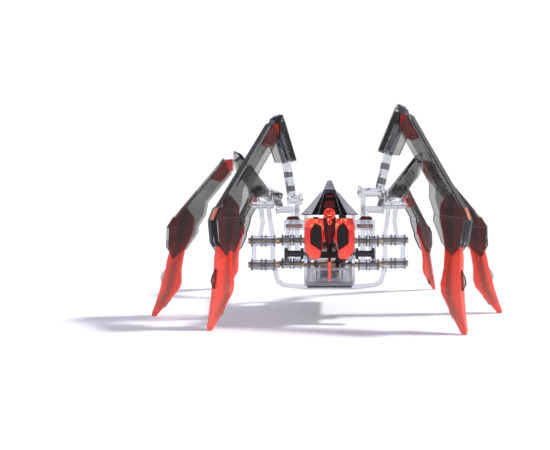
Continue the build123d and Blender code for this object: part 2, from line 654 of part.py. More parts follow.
def save(name, shape):
    """Writes one node, moved so the whole robot is centred front to back."""
    parts = shape if isinstance(shape, (list, tuple)) else [shape]
    solids = [solid for part in parts for solid in part.solids()]
    moved = Pos(0, Y_SHIFT, 0) * (solids[0] if len(solids) == 1 else Compound(children=solids))
    export_step(moved, os.path.join("parts", name + ".step"))
    return moved


def main():
    os.makedirs("parts", exist_ok=True)
    for place in LEGS:
        for side in SIDES:
            for piece, shape in build_leg(place, side).items():
                save(f"{side}_{place}_{piece}", shape)
    save("lower_crankshaft", Pos(0, 0, LOWER_Z) * crankshaft(0))
    save("upper_crankshaft", Pos(0, 0, UPPER_Z) * crankshaft(UPPER_TURN))
    save("idler_gear", at_yz(IDLER, idler_gear(IDLER_TURN)))
    save("second_gear", at_yz(SECOND, compound_gear(26, PLANE_2, 14, PLANE_3, SECOND_TURN)))
    save("first_gear", at_yz(FIRST, compound_gear(30, PLANE_1, 12, PLANE_2, FIRST_TURN)))
    save("motor_pinion", motor_shaft_gear())
    save("motor", motor_can())
    save("gear_pins", gear_pins())
    save("spacer_posts", spacer_posts())
    for side, sign in SIDES.items():
        save(f"{side}_side_plate", side_plate(sign))
    save("tray", tray())
    save("battery_door", battery_door())
    save("front_cell", button_cell(CELLS_Y[0]))
    save("rear_cell", button_cell(CELLS_Y[1]))
    save("contact_strip", contacts())
    save("circuit_board", circuit_board())
    save("led", led())
    save("face_lens", face_lens())
    save("eyes", eyes())
    save("nose_ridge", nose())
    save("roof", roof())
    save("bumper", bumper())
    save("power_switch", power_switch())
    save("switch_slider", switch_slider())


main()
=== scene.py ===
"""Looks, light and camera for a six-legged spider robot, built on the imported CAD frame.

Millimetres and degrees unless a name says otherwise.
"""

import json
import math

import bmesh
import bpy
from mathutils import Matrix, Vector


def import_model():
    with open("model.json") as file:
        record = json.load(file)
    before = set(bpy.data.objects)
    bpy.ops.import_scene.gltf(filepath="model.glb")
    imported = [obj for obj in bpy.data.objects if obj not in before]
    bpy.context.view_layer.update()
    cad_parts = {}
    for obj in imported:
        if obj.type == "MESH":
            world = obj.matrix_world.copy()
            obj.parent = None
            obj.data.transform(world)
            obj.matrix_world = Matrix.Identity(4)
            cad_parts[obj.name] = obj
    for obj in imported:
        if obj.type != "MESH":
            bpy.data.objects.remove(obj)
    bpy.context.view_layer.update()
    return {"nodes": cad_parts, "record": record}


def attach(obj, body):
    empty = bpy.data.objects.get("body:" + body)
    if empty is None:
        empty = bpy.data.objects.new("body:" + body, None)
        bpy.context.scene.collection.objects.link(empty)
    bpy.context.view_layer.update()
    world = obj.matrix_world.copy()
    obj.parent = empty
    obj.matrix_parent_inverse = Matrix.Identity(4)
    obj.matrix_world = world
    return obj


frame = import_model()
MM = 0.001
Y_SHIFT = -24.4  # the crankshafts' place along Y
CRANK_R = 3.3
LOWER_Z, UPPER_Z = 21.0, 30.6  # the two crankshafts

# A leg's shape in its own plane, as in the CAD: vectors from ankle to knee and from hood tip to hood end,
# and the hip as a step outwards from the hood's end and a height.
LEGS = {
    "front": dict(scale=1.08, shin=(-30.5, 33.4), hood=(-4.6, -19.2), hip=(2.8, 46.0)),
    "middle": dict(scale=1.0, shin=(-20.9, 25.0), hood=(-13.3, -16.8), hip=(7.0, 49.4)),
    "rear": dict(scale=0.87, shin=(-17.5, 20.5), hood=(-15.5, -5.0), hip=(-0.5, 46.0)),
}
# How each leg stands: where its foot tip is, the turn of its plane, and its lean outwards.
STANCE = {
    ("front", "left"): dict(foot=(42.4, -32.0), yaw=-46, lean=7.0),
    ("front", "right"): dict(foot=(46.2, -32.0), yaw=-40, lean=11.3),
    ("middle", "left"): dict(foot=(71.4, 2.5), yaw=0, lean=0),
    ("middle", "right"): dict(foot=(71.4, 2.5), yaw=0, lean=0),
    ("rear", "left"): dict(foot=(57.8, 81.0), yaw=44, lean=0),
    ("rear", "right"): dict(foot=(57.8, 81.0), yaw=44, lean=0),
}
SIDES = {"left": -1, "right": 1}
ANKLE = (-7.65, 39.0)  # from the foot tip, at scale 1
KNEE_TO_HOOD = (-5.6, 3.0)
SOLE_U, SOLE_Y = (-1.05, 0.75), (-0.44, 0.44)
SHELL_HALF = 2.7
BAR_HALF = 1.33  # half the thickness of the bands round the femur bars

# Along X: the middle of a front or rear leg's throw, and the ends of each leg's sleeves.
THROW_X = {"front": 13.33, "rear": 17.68}
SLEEVES = {"front": (11.45, 15.2), "rear": (15.6, 19.75), "middle": (21.7, 31.4)}
MIDDLE_HIP_Z = 45.2

# Turned profiles: (distance along the axis, radius) points.
SCREW = ((-0.1, 0.55), (0.2, 0.55), (0.34, 0.42), (0.34, 0.24), (0.1, 0.18))
PIN_END = ((-0.1, 0.8), (0.22, 0.8), (0.36, 0.62), (0.36, 0.3), (0.2, 0.22))
COLLAR = ((0.0, 1.9), (0.0, 2.28), (0.12, 2.4), (0.48, 2.4), (0.6, 2.28), (0.6, 1.9))
COLLAR_WIDTH = 0.6
BEZEL = ((0.0, 1.6), (0.0, 2.2), (0.7, 2.2), (0.95, 2.05), (0.95, 1.8), (0.6, 1.6))
DOME = ((0.0, 1.15), (0.4, 1.15), (0.7, 0.95), (0.9, 0.6), (0.97, 0.25))
STOP_PIN = ((0, 0.55), (0.4, 0.75), (6.0, 0.75), (6.3, 0.5))

# Noise cells per metre, for the unevenness of a colour and of a gloss.
TINT_CELLS, GLOSS_CELLS = 160, 420


# ---- Materials ----------------------------------------------------------------------------------
def new_material(name):
    """An empty material with its output and a Principled shader."""
    mat = bpy.data.materials.new(name)
    mat.use_nodes = True
    nodes = mat.node_tree.nodes
    nodes.clear()
    out = nodes.new("ShaderNodeOutputMaterial")
    shader = nodes.new("ShaderNodeBsdfPrincipled")
    mat.node_tree.links.new(shader.outputs[0], out.inputs[0])
    return mat, mat.node_tree, shader


def noise(tree, scale, detail=3.0, stretch=None):
    """Noise over the object, whose size does not depend on the piece."""
    coords = tree.nodes.new("ShaderNodeTexCoord")
    source = coords.outputs["Object"]
    if stretch:
        mapping = tree.nodes.new("ShaderNodeMapping")
        mapping.inputs["Scale"].default_value = stretch
        tree.links.new(source, mapping.inputs["Vector"])
        source = mapping.outputs[0]
    tex = tree.nodes.new("ShaderNodeTexNoise")
    tex.inputs["Scale"].default_value = scale
    tex.inputs["Detail"].default_value = detail
    tree.links.new(source, tex.inputs["Vector"])
    return tex.outputs["Fac"]


def ramp(tree, source, stops):
    """Colours over a value: stops are (place, colour)."""
    node = tree.nodes.new("ShaderNodeValToRGB")
    elements = node.color_ramp.elements
    elements[0].position, elements[1].position = stops[0][0], stops[-1][0]
    elements[0].color, elements[1].color = (*stops[0][1], 1), (*stops[-1][1], 1)
    for place, colour in stops[1:-1]:
        element = elements.new(place)
        element.color = (*colour, 1)
    tree.links.new(source, node.inputs[0])
    return node.outputs[0]


def spread(tree, source, low, high, lo_in=0.3, hi_in=0.7):
    """The value stretched to run from low to high."""
    node = tree.nodes.new("ShaderNodeMapRange")
    for socket, value in zip(("From Min", "From Max", "To Min", "To Max"), (lo_in, hi_in, low, high)):
        node.inputs[socket].default_value = value
    tree.links.new(source, node.inputs["Value"])
    return node.outputs[0]


def absolute(tree, source):
    node = tree.nodes.new("ShaderNodeMath")
    node.operation = "ABSOLUTE"
    tree.links.new(source, node.inputs[0])
    return node.outputs[0]


def height(tree, low_mm, high_mm):
    """0 at one height over the floor, 1 at the other."""
    coords = tree.nodes.new("ShaderNodeTexCoord")
    split = tree.nodes.new("ShaderNodeSeparateXYZ")
    tree.links.new(coords.outputs["Object"], split.inputs[0])
    return spread(tree, split.outputs["Z"], 0.0, 1.0, low_mm * MM, high_mm * MM)


def bump(tree, shader, source, strength, distance_mm):
    """Relief from a value, on a shader's normal."""
    node = tree.nodes.new("ShaderNodeBump")
    node.inputs["Strength"].default_value = strength
    node.inputs["Distance"].default_value = distance_mm * MM
    tree.links.new(source, node.inputs["Height"])
    tree.links.new(node.outputs[0], shader.inputs["Normal"])


def mixed(tree, factor, low, high):
    """One colour where the factor is 0, the other where it is 1."""
    node = tree.nodes.new("ShaderNodeMix")
    node.data_type = "RGBA"
    tree.links.new(factor, node.inputs["Factor"])
    for socket, value in ((node.inputs[6], low), (node.inputs[7], high)):
        if isinstance(value, tuple):
            socket.default_value = (*value, 1)
        else:
            tree.links.new(value, socket)
    return node.outputs[2]


def facing_way(tree, direction, low, high):
    """0 to 1 as a face turns to point along or against a direction of the robot's frame."""
    coords = tree.nodes.new("ShaderNodeTexCoord")
    dot = tree.nodes.new("ShaderNodeVectorMath")
    dot.operation = "DOT_PRODUCT"
    dot.inputs[1].default_value = direction
    tree.links.new(coords.outputs["Normal"], dot.inputs[0])
    return spread(tree, absolute(tree, dot.outputs["Value"]), 0.0, 1.0, low, high)


def edge_lines(tree, radius_mm):
    """1 along the edges of a moulding, 0 on its flats."""
    rounded = tree.nodes.new("ShaderNodeBevel")
    rounded.samples = 3
    rounded.inputs["Radius"].default_value = radius_mm * MM
    flat = tree.nodes.new("ShaderNodeNewGeometry")
    dot = tree.nodes.new("ShaderNodeVectorMath")
    dot.operation = "DOT_PRODUCT"
    tree.links.new(rounded.outputs[0], dot.inputs[0])
    tree.links.new(flat.outputs["Normal"], dot.inputs[1])
    return spread(tree, dot.outputs["Value"], 1.0, 0.0, 0.86, 0.99)


def put(shader, **values):
    """Constant values on the shader's own sockets."""
    for name, value in values.items():
        shader.inputs[name.replace("_", " ")].default_value = value


def plastic(name, dark, light, rough, grain=900, depth=0.02, **values):
    """Moulded plastic: slightly uneven colour and gloss, and a fine moulded grain."""
    mat, tree, shader = new_material(name)
    tint = ramp(tree, noise(tree, TINT_CELLS), [(0.3, dark), (0.7, light)])
    tree.links.new(tint, shader.inputs["Base Color"])
    tree.links.new(spread(tree, noise(tree, GLOSS_CELLS), rough[0], rough[1]), shader.inputs["Roughness"])
    bump(tree, shader, noise(tree, grain, 4.0), 0.35, depth)
    put(shader, **values)
    return mat


def metal(name, dark, light, rough, stretch):
    """Turned or drawn metal with fine lines."""
    mat, tree, shader = new_material(name)
    lines = noise(tree, 900, 4.0, stretch)
    tree.links.new(ramp(tree, lines, [(0.25, dark), (0.75, light)]), shader.inputs["Base Color"])
    tree.links.new(spread(tree, lines, rough[0], rough[1]), shader.inputs["Roughness"])
    bump(tree, shader, lines, 0.25, 0.02)
    put(shader, Metallic=1.0)
    return mat


def clear(name, flat_low, flat_high, edge, **values):
    """Clear polycarbonate: nearly colourless flats, and grey lines of painted shade along the edges, where a
    real edge turns the light away.
    """
    mat, tree, shader = new_material(name)
    flats = ramp(tree, noise(tree, TINT_CELLS), [(0.3, flat_low), (0.7, flat_high)])
    # painted shade: the edge colour is mixed in along every edge
    tree.links.new(mixed(tree, edge_lines(tree, 0.22), flats, edge), shader.inputs["Base Color"])
    tree.links.new(spread(tree, noise(tree, GLOSS_CELLS), 0.03, 0.10), shader.inputs["Roughness"])
    bump(tree, shader, noise(tree, 260, 3.0), 0.25, 0.03)
    put(shader, Transmission_Weight=0.93, IOR=1.45, **values)
    return mat


def smoke(name, across):
    """Smoke-grey shell with painted light and shade: greyish and open on its wide faces, painted shade near
    black on its narrow ones, and a painted pale highlight at edges.
    """
    mat, tree, shader = new_material(name)
    wide = ramp(tree, noise(tree, 90), [(0.3, (0.36, 0.365, 0.35)), (0.7, (0.46, 0.465, 0.45))])
    narrow = ramp(tree, noise(tree, 90), [(0.3, (0.012, 0.012, 0.018)), (0.7, (0.030, 0.030, 0.042))])
    # painted light and shade by facing: the wide faces light, the narrow ones dark
    body = mixed(tree, facing_way(tree, across, 0.35, 0.85), narrow, wide)
    # painted highlight: a pale colour along the edges
    tree.links.new(mixed(tree, edge_lines(tree, 0.18), body, (0.50, 0.51, 0.56)), shader.inputs["Base Color"])
    tree.links.new(spread(tree, noise(tree, GLOSS_CELLS), 0.03, 0.07), shader.inputs["Roughness"])
    bump(tree, shader, noise(tree, 240, 3.0), 0.12, 0.02)
    put(shader, Transmission_Weight=0.96, IOR=1.2)
    return mat


# The middle of a foot as two straight lines, each (lean, start at scale 1), and the half widths of its core.
CORE_LINES = ((0.205, 4.34), (0.59, 0.15))
CORE_INNER, CORE_OUTER = 0.9, 2.3


def red_foot(name, outward, foot, scale):
    """Soft translucent red: bright rims, a brownish core along its middle, painted shade of deep maroon where
    it runs up inside the shell, a painted highlight along its edges, and a painted glow.
    """
    mat, tree, shader = new_material(name)
    fade = height(tree, 2, 44)
    # painted shade: above about 0.68 of the rise both ramps turn deep maroon, where the foot runs up inside
    # the shell
    rim = ramp(tree, fade, [(0.0, (0.90, 0.13, 0.095)), (0.35, (0.88, 0.07, 0.045)),
                            (0.60, (0.86, 0.055, 0.03)), (0.68, (0.50, 0.008, 0.022)),
                            (1.0, (0.36, 0.006, 0.018))])
    core = ramp(tree, fade, [(0.0, (0.80, 0.10, 0.075)), (0.12, (0.30, 0.085, 0.065)),
                             (0.4, (0.26, 0.06, 0.045)), (0.60, (0.50, 0.04, 0.02)),
                             (0.68, (0.09, 0.003, 0.007)), (1.0, (0.03, 0.002, 0.004))])
    coords = tree.nodes.new("ShaderNodeTexCoord")
    nearer = tree.nodes.new("ShaderNodeMath")
    nearer.operation = "MINIMUM"
    for n, (lean, start) in enumerate(CORE_LINES):
        along = tree.nodes.new("ShaderNodeVectorMath")
        along.operation = "DOT_PRODUCT"
        along.inputs[1].default_value = (outward[0], outward[1], outward[2] + lean)
        tree.links.new(coords.outputs["Object"], along.inputs[0])
        offset = tree.nodes.new("ShaderNodeMath")
        offset.operation = "ADD"
        offset.inputs[1].default_value = (start * scale - outward[0] * foot[0] - outward[1] * foot[1]) * MM
        tree.links.new(along.outputs["Value"], offset.inputs[0])
        tree.links.new(offset.outputs[0], nearer.inputs[n])
    in_core = spread(tree, absolute(tree, nearer.outputs[0]), 0.8, 0.0, CORE_INNER * MM, CORE_OUTER * MM)
    colour = mixed(tree, in_core, rim, core)
    mottled = tree.nodes.new("ShaderNodeMix")
    mottled.data_type, mottled.blend_type = "RGBA", "MULTIPLY"
    mottled.inputs["Factor"].default_value = 0.35
    tree.links.new(colour, mottled.inputs[6])
    mottling = ramp(tree, noise(tree, 70), [(0.35, (0.66, 0.62, 0.62)), (0.65, (1, 1, 1))])
    tree.links.new(mottling, mottled.inputs[7])
    # painted highlight: a bright coral along the edges
    with_painted_edges = mixed(tree, edge_lines(tree, 0.40), mottled.outputs[2], (0.92, 0.13, 0.09))
    tree.links.new(with_painted_edges, shader.inputs["Base Color"])
    # painted glow: the colour is also its emission
    tree.links.new(with_painted_edges, shader.inputs["Emission Color"])
    tree.links.new(spread(tree, noise(tree, 350), 0.20, 0.36), shader.inputs["Roughness"])
    bump(tree, shader, noise(tree, 500, 4.0), 0.2, 0.02)
    put(shader, Transmission_Weight=0.12, IOR=1.4, Emission_Strength=0.12)
    return mat


def red_lens():
    """Face lens with a painted glow: painted highlights in a cell pattern near the LED, deep red below it,
    coral at the lower end.
    """
    mat, tree, shader = new_material("red_lens")
    cells = tree.nodes.new("ShaderNodeTexVoronoi")
    cells.inputs["Scale"].default_value = 640
    coords = tree.nodes.new("ShaderNodeTexCoord")
    tree.links.new(coords.outputs["Object"], cells.inputs["Vector"])
    shade = tree.nodes.new("ShaderNodeSeparateColor")
    tree.links.new(cells.outputs["Color"], shade.inputs[0])
    # painted highlights: bright cell facets near the LED
    facets = ramp(tree, shade.outputs[0], [(0.15, (0.42, 0.006, 0.006)), (0.5, (0.88, 0.045, 0.02)),
                                           (0.75, (1.0, 0.22, 0.07)), (0.95, (1.0, 0.42, 0.22))])
    plain = ramp(tree, height(tree, 24, 39), [(0.0, (0.86, 0.085, 0.05)), (0.35, (0.84, 0.05, 0.028)),
                                              (0.6, (0.66, 0.010, 0.012)), (1.0, (0.50, 0.005, 0.008))])
    uneven = mixed(tree, spread(tree, noise(tree, TINT_CELLS), 0.0, 0.35), plain, (0.55, 0.02, 0.012))
    glow = mixed(tree, height(tree, 35.0, 37.2), uneven, facets)
    tree.links.new(glow, shader.inputs["Base Color"])
    # painted glow: the colour is also its emission
    tree.links.new(glow, shader.inputs["Emission Color"])
    tree.links.new(spread(tree, noise(tree, 300), 0.08, 0.18), shader.inputs["Roughness"])
    bump(tree, shader, cells.outputs["Distance"], 0.2, 0.04)
    put(shader, Transmission_Weight=0.15, IOR=1.49, Emission_Strength=0.38, Coat_Weight=0.1)
    return mat


def led_glass():
    """Red LED glass with painted pale sparkles, highlights where its facets catch the die."""
    mat, tree, shader = new_material("led_glass")
    cells = tree.nodes.new("ShaderNodeTexVoronoi")
    cells.inputs["Scale"].default_value = 1100
    coords = tree.nodes.new("ShaderNodeTexCoord")
    tree.links.new(coords.outputs["Object"], cells.inputs["Vector"])
    # painted highlights: pale sparkles at the cell centres
    sparkle = ramp(tree, cells.outputs["Distance"], [(0.10, (1.0, 0.80, 0.70)), (0.26, (1.0, 0.20, 0.09)),
                                                     (0.42, (0.30, 0.008, 0.008))])
    tree.links.new(sparkle, shader.inputs["Base Color"])
    tree.links.new(sparkle, shader.inputs["Emission Color"])
    tree.links.new(spread(tree, noise(tree, 300), 0.04, 0.12), shader.inputs["Roughness"])
    put(shader, Transmission_Weight=0.3, IOR=1.5, Emission_Strength=0.9)
    return mat


MATS = {
    "smoke": smoke("smoke_shell", (1, 0, 0)),
    # pale smoke: the tray's frame, and the painted highlights on the roof and the knee hoods
    "pale": plastic("pale_smoke", (0.42, 0.43, 0.48), (0.60, 0.61, 0.67), (0.06, 0.14),
                    Transmission_Weight=0.35, IOR=1.45, Coat_Weight=0.5),
    "band": plastic("dark_band", (0.17, 0.17, 0.18), (0.26, 0.26, 0.27), (0.10, 0.22),
                    Transmission_Weight=0.6),
    "clear": clear("clear_shell", (0.58, 0.60, 0.64), (0.74, 0.76, 0.80), (0.12, 0.12, 0.15)),
    "tan": clear("warm_clear", (0.50, 0.16, 0.10), (0.66, 0.30, 0.22), (0.16, 0.05, 0.04)),
    "red_lens": red_lens(),
    # painted glow: a faint emission on the amber windows
    "amber": plastic("amber_window", (0.50, 0.06, 0.02), (0.85, 0.22, 0.08), (0.08, 0.16),
                     Transmission_Weight=0.35, IOR=1.49, Emission_Color=(0.90, 0.16, 0.05, 1),
                     Emission_Strength=0.10),
    "black": plastic("gloss_black", (0.002, 0.002, 0.003), (0.006, 0.006, 0.007), (0.06, 0.14),
                     Specular_IOR_Level=0.25),
    "gear_black": plastic("gear_black", (0.012, 0.012, 0.012), (0.03, 0.03, 0.03), (0.3, 0.5)),
    "steel": metal("pin_steel", (0.42, 0.40, 0.38), (0.72, 0.70, 0.67), (0.18, 0.38), (0.05, 1, 1)),
    "bronze": metal("pin_bronze", (0.36, 0.25, 0.15), (0.66, 0.50, 0.34), (0.2, 0.4), (0.05, 1, 1)),
    "cell": metal("cell_steel", (0.5, 0.5, 0.48), (0.78, 0.77, 0.74), (0.2, 0.35), (1, 1, 0.1)),
    "board": plastic("board_green", (0.006, 0.07, 0.03), (0.012, 0.13, 0.05), (0.3, 0.5), Coat_Weight=0.4),
    "led": led_glass(),
    # painted glow: a faint emission on the knee caps
    "knee_red": plastic("knee_red", (0.30, 0.008, 0.012), (0.80, 0.05, 0.03), (0.10, 0.2),
                        Transmission_Weight=0.3, IOR=1.45, Emission_Color=(0.8, 0.06, 0.03, 1),
                        Emission_Strength=0.08),
    # painted glow: a faint emission on the deep maroon parts
    "maroon": plastic("deep_maroon", (0.035, 0.002, 0.004), (0.085, 0.004, 0.007), (0.08, 0.18),
                      Specular_IOR_Level=0.2, Emission_Color=(0.30, 0.01, 0.01, 1), Emission_Strength=0.08),
}
NODE_SLOT = {entry["node"]: entry["material_slot"] for entry in frame["record"]["subparts"]}


def leg_turn(place, side):
    """The turn of a leg's own plane in the robot's frame."""
    stance, sign = STANCE[place, side], SIDES[side]
    turn = math.radians(stance["yaw"] if sign > 0 else 180 - stance["yaw"])
    return Matrix.Rotation(math.radians(sign * stance["lean"]), 4, "Y") @ Matrix.Rotation(turn, 4, "Z")


def crank_y(place, side):
    """How far the crank holds a leg back or forward at rest: the tripods stand half a turn apart."""
    return CRANK_R * (1 if side == "left" else -1) * (-1 if place == "middle" else 1)


def foot_place(place, side):
    """Where a foot stands, in the robot's frame."""
    x, y = STANCE[place, side]["foot"]
    return SIDES[side] * x, y + crank_y(place, side) + Y_SHIFT


for leg_place, leg_side in STANCE:
    leg = f"{leg_side}_{leg_place}"
    turned = leg_turn(leg_place, leg_side)
    MATS[f"{leg}_foot"] = red_foot(f"red_foot_{leg}", tuple(turned.col[0][:3]),
                                   foot_place(leg_place, leg_side), LEGS[leg_place]["scale"])
    MATS[f"{leg}_smoke"] = smoke(f"smoke_{leg}", tuple(turned.col[1][:3]))
    for part, kind in (("foot", "foot"), ("shin_shell", "smoke"), ("knee_hood", "smoke")):
        NODE_SLOT[f"{leg}_{part}"] = f"{leg}_{kind}"
    NODE_SLOT[f"{leg}_knee_cap"] = "knee_red"

for name, obj in frame["nodes"].items():
    obj.data.materials.clear()
    obj.data.materials.append(MATS[NODE_SLOT[name]])
    for polygon in obj.data.polygons:
        polygon.material_index = 0


# ---- Pieces -------------------------------------------------------------------------------------
def piece(name, bm, body, mat, matrix=None, bevel_mm=0.0, smooth=False):
    """A bmesh, in millimetres, as an object that rides on a body."""
    if matrix is not None:
        bmesh.ops.transform(bm, matrix=matrix, verts=bm.verts)
    bmesh.ops.scale(bm, vec=(MM, MM, MM), verts=bm.verts)
    bmesh.ops.recalc_face_normals(bm, faces=bm.faces)
    mesh = bpy.data.meshes.new(name)
    bm.to_mesh(mesh)
    bm.free()
    obj = bpy.data.objects.new(name, mesh)
    bpy.context.collection.objects.link(obj)
    mesh.materials.append(MATS[mat])
    if smooth:
        for polygon in mesh.polygons:
            polygon.use_smooth = True
    if bevel_mm:
        mod = obj.modifiers.new("bevel", "BEVEL")
        mod.width, mod.segments, mod.limit_method = bevel_mm * MM, 2, "ANGLE"
    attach(obj, body)


def bridge(bm, low, high):
    """Faces between two rings of as many vertices."""
    count = len(low)
    for n in range(count):
        m = (n + 1) % count
        bm.faces.new((low[n], low[m], high[m], high[n]))


def cap(bm, rings):
    """Faces over the first and the last ring."""
    bm.faces.new(rings[0])
    bm.faces.new(list(reversed(rings[-1])))


def prism(bm, points, y0, y1):
    """A solid between two copies of an outline of (x, z) points, at y0 and y1."""
    rings = [[bm.verts.new((x, y, z)) for x, z in points] for y in (y0, y1)]
    cap(bm, rings)
    bridge(bm, *rings)


def revolved(bm, profile, centre, axis, segments):
    """A ring of vertices round an axis for each (distance along the axis, radius) point of a profile."""
    base = Vector((0, 0, 1)).rotation_difference(Vector(axis)).to_matrix().to_4x4()
    place = Matrix.Translation(Vector(centre)) @ base
    angles = [2 * math.pi * n / segments for n in range(segments)]
    return [[bm.verts.new(place @ Vector((radius * math.cos(a), radius * math.sin(a), along)))
             for a in angles] for along, radius in profile]


def lathe(bm, profile, centre, axis, segments):
    """A closed body of revolution."""
    rings = revolved(bm, profile, centre, axis, segments)
    for low, high in zip(rings, rings[1:]):
        bridge(bm, low, high)
    cap(bm, rings)


def ring(bm, profile, centre, axis, segments=28):
    """A ring, whose profile is a closed loop."""
    rings = revolved(bm, profile, centre, axis, segments)
    for low, high in zip(rings, rings[1:] + rings[:1]):
        bridge(bm, low, high)


def leg_matrix(place, side):
    """From a leg's own plane to the robot's frame, in millimetres."""
    level, s = leg_turn(place, side), LEGS[place]["scale"]
    sole = [level @ Vector((u * s, y * s, 0)) for u in SOLE_U for y in SOLE_Y]
    return Matrix.Translation((*foot_place(place, side), -min(p.z for p in sole))) @ level


def moved(point, along, square, a, b):
    """A point moved by a along one direction and by b along another."""
    return (point[0] + along[0] * a + square[0] * b, point[1] + along[1] * a + square[1] * b)


def ankle_details(name, body, matrix, ankle, s):
    """The amber window at the ankle, its clear rim, and the seam across the shin shell."""
    def at(*corners):
        return [(ankle[0] + u * s, ankle[1] + z * s) for u, z in corners]

    bm = bmesh.new()
    window = at((-0.9, 0.9), (-0.35, 0.75), (1.75, -2.5), (1.7, -3.2), (0.6, -3.3), (-1.6, -0.6))
    prism(bm, window, -1.22 * s, 1.22 * s)
    piece(f"{name}_ankle_window", bm, body, "amber", matrix, 0.25)

    bm = bmesh.new()
    rim = at((-0.9, 1.35), (-0.45, 1.3), (2.05, -2.9), (1.9, -3.4), (1.4, -3.0), (-1.1, 0.8))
    for y0, y1 in ((-1.55 * s, -1.2 * s), (1.2 * s, 1.55 * s)):
        prism(bm, rim, y0, y1)
    prism(bm, at((2.02, -2.75), (2.0, -3.3), (1.3, -3.3), (1.35, -2.95)), -1.3 * s, 1.3 * s)
    piece(f"{name}_window_rim", bm, body, "clear", matrix, 0.08)

    bm = bmesh.new()
    half = SHELL_HALF * s
    seam = at((1.5, -2.95), (1.5, -3.2), (-9.6, -3.2), (-9.6, -2.95))
    for y0, y1 in ((-half - 0.06, -half + 0.02), (half - 0.02, half + 0.06)):
        prism(bm, seam, y0, y1)
    piece(f"{name}_shell_seam", bm, body, "clear", matrix)


def knee_details(name, body, matrix, place, tip, s):
    """A pale strip along the knee hood's crest, a painted highlight, and the dark bands round the femur bar;
    the hip's place is returned.
    """
    spec = LEGS[place]
    length = math.hypot(*spec["hood"])
    end = (tip[0] + spec["hood"][0], tip[1] + spec["hood"][1])
    along = ((end[0] - tip[0]) / length, (end[1] - tip[1]) / length)
    under = (-along[1], along[0])

    def on_hood(a, b):
        return moved(tip, along, under, a, b)

    bm = bmesh.new()
    # painted highlight: a pale strip along the hood's crest and over its tip
    crest = [on_hood(0.0, 1.3), on_hood(1.6, -0.05), on_hood(length - 0.5, -0.05),
             on_hood(length - 1.3, -0.4), on_hood(2.4, -0.45), on_hood(-0.5, 0.9), on_hood(-0.6, 1.5)]
    prism(bm, crest, -2.3 * s, 2.3 * s)
    piece(f"{name}_hood_highlight", bm, body, "pale", matrix, 0.12)

    hip = (end[0] + spec["hip"][0], spec["hip"][1])
    start = on_hood(length * 0.42 if place == "middle" else length - 1.5, 3.0 * s)
    span = math.dist(start, hip)
    way = ((hip[0] - start[0]) / span, (hip[1] - start[1]) / span)
    square = (-way[1], way[0])
    bm = bmesh.new()
    for share in {"front": (0.42, 0.84), "middle": (0.86,), "rear": (0.7,)}[place]:
        band = [moved(start, way, square, span * share + a, b)
                for a, b in ((-1.2, -1.36), (1.2, -1.36), (1.2, 1.36), (-1.2, 1.36))]
        prism(bm, band, -BAR_HALF, BAR_HALF)
    piece(f"{name}_bar_bands", bm, body, "band", matrix, 0.15)
    return hip


def hip_details(name, body, place, side, hip):
    """Pin ends and screws at a hip's hinge, and collars on the sleeves; the hip is in the robot's frame."""
    hx, hy, hz = hip
    sign, link_y = SIDES[side], Y_SHIFT + crank_y(place, side)
    bm = bmesh.new()
    if place == "middle":
        for x in (25.6, 31.2):
            lathe(bm, PIN_END, (sign * x, link_y - 1.6, MIDDLE_HIP_Z), (0, -1, 0), 14)
        for x, way_out in ((22.5, -1), (31.4, 1)):
            lathe(bm, PIN_END, (sign * x, link_y, MIDDLE_HIP_Z), (sign * way_out, 0, 0), 18)
    else:
        low, high = min(THROW_X[place], abs(hx)) - 1.9, max(THROW_X[place], abs(hx)) + 1.5
        for x, way_out in ((low, -1), (high, 1)):
            lathe(bm, PIN_END, (sign * x, hy, hz - 2.2), (sign * way_out, 0, 0), 18)
        for x in (low + 0.6, high - 0.6):
            lathe(bm, SCREW, (sign * x, hy - 1.75, hz - 2.2), (0, -1, 0), 14)
    piece(f"{name}_hip_screws", bm, body, "steel")

    bm = bmesh.new()
    low, high = SLEEVES[place]
    starts = [low, high - COLLAR_WIDTH] + ([low + 3.6, low + 5.2] if place == "middle" else [])
    for z in (LOWER_Z, UPPER_Z):
        for x in starts:
            ring(bm, COLLAR, (sign * x, link_y, z), (sign, 0, 0))
    piece(f"{name}_sleeve_collars", bm, body, "clear")


def leg_details(place, side):
    """All the details of one leg, riding with it."""
    name, body = f"{side}_{place}", f"{side}_{place}_leg"
    matrix, spec = leg_matrix(place, side), LEGS[place]
    s = spec["scale"]
    ankle = (ANKLE[0] * s, ANKLE[1] * s)
    knee = (ankle[0] + spec["shin"][0], ankle[1] + spec["shin"][1])
    tip = (knee[0] + KNEE_TO_HOOD[0] * s, knee[1] + KNEE_TO_HOOD[1] * s)
    ankle_details(name, body, matrix, ankle, s)
    hip = knee_details(name, body, matrix, place, tip, s)
    hip_details(name, body, place, side, matrix @ Vector((hip[0], 0, hip[1])))


for leg_place in LEGS:
    for leg_side in SIDES:
        leg_details(leg_place, leg_side)


# ---- Head and chassis ---------------------------------------------------------------------------
FACE_Y, LED_Z, GLINT_Z = -18.6, 41.4, 38.4  # the lens's front, and the heights of the LED and of its painted glint
# The roof's front as slopes: (y at z0, y per z, z0), for its wide part and for its peak.
ROOF_SLOPE, PEAK_SLOPE = (-17.2, 1.6 / 9.4, 41.0), (-15.6, 6.6 / 4.1, 50.4)


def slanted(bm, points, slope, thick):
    """A plate of an (x, z) outline that lies on a slope, thick towards the front."""
    base, rise, z0 = slope
    rings = [[bm.verts.new((x, base + rise * (z - z0) + lift + Y_SHIFT, z)) for x, z in points]
             for lift in (0.05, -thick)]
    cap(bm, rings)
    bridge(bm, *rings)


def mirrored(points, sign):
    return [(sign * x, z) for x, z in points]


